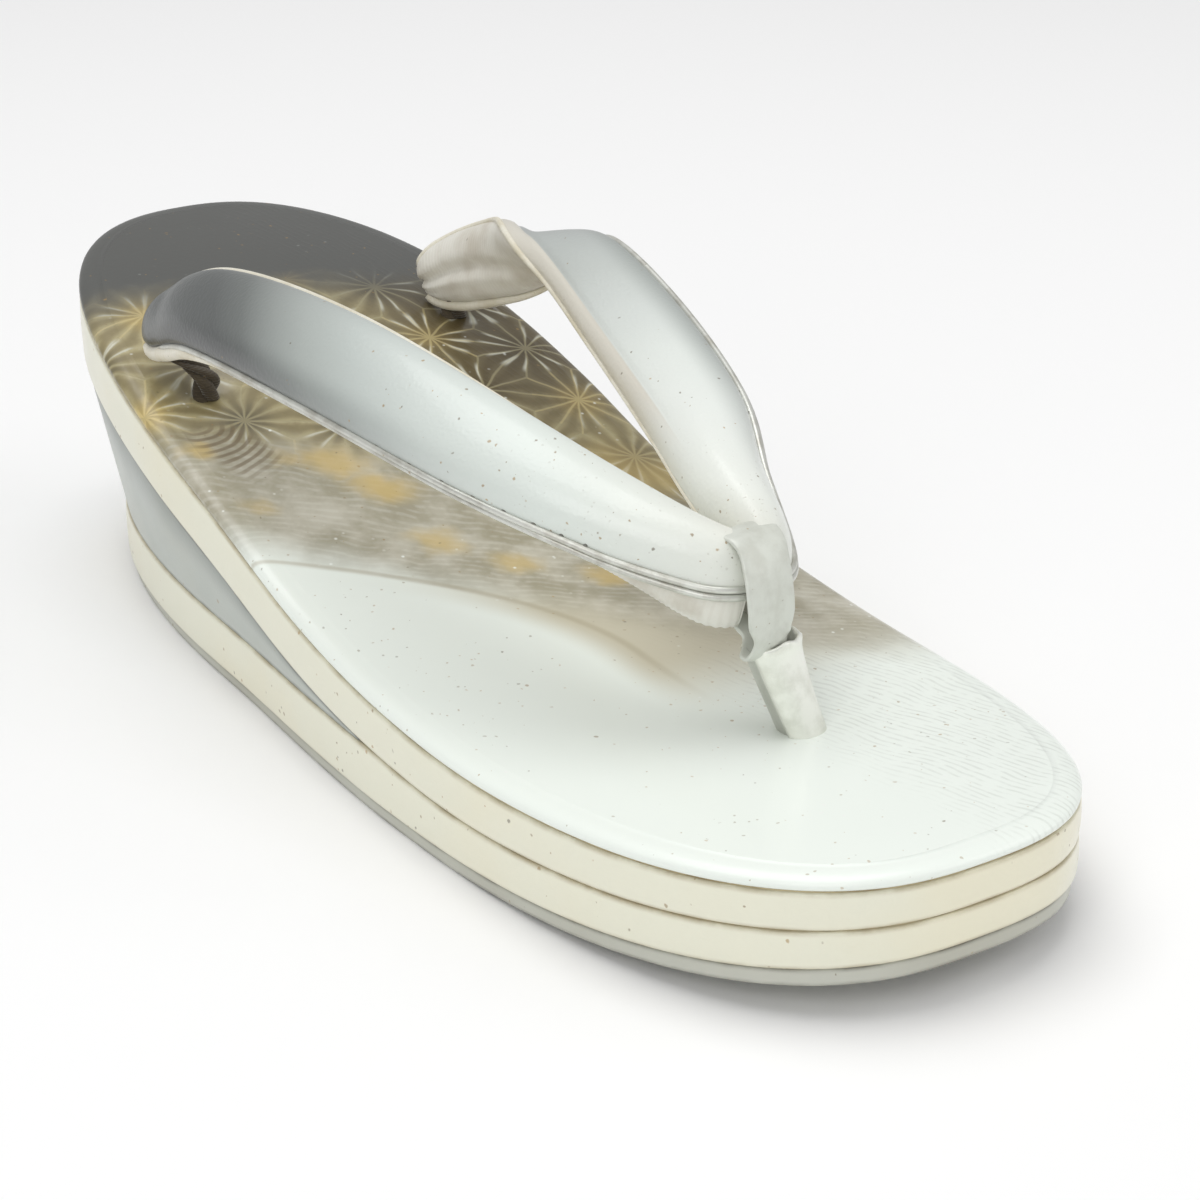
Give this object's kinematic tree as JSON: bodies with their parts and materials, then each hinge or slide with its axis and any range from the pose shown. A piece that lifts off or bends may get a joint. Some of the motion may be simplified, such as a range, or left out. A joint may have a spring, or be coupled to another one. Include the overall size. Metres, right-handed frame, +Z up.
{
  "type": "zori sandal",
  "caption": "Woman's zori: stacked wrapped sole with a raised heel, and a padded V thong held by a toe post.",
  "frame": {"origin": "centre of the footprint on the surface that the sandal stands on", "axes": "+Z up, +Y towards the heel, so the toe points along -Y, and X across the sandal"},
  "size_m": [0.0858, 0.24, 0.0715],
  "materials": {
    "bed_enamel": "glossy enamel leather shading from charcoal at the heel to pearl at the toe",
    "cream_wrap": "smooth cream enamel leather",
    "grey_wrap": "satin silver-grey leather",
    "sole_leather": "matt grey sole leather",
    "strap_enamel": "pearly enamel leather shading to charcoal at the back ends",
    "silver_leather": "soft silver leather"
  },
  "bodies": {
    "root": {"bed": "bed_enamel", "top_layer": "cream_wrap", "middle_wedge": "grey_wrap", "lower_layer": "cream_wrap", "outsole": "sole_leather", "upper": "strap_enamel", "toe_loop": "silver_leather", "toe_post": "silver_leather"}
  },
  "joints": []
}
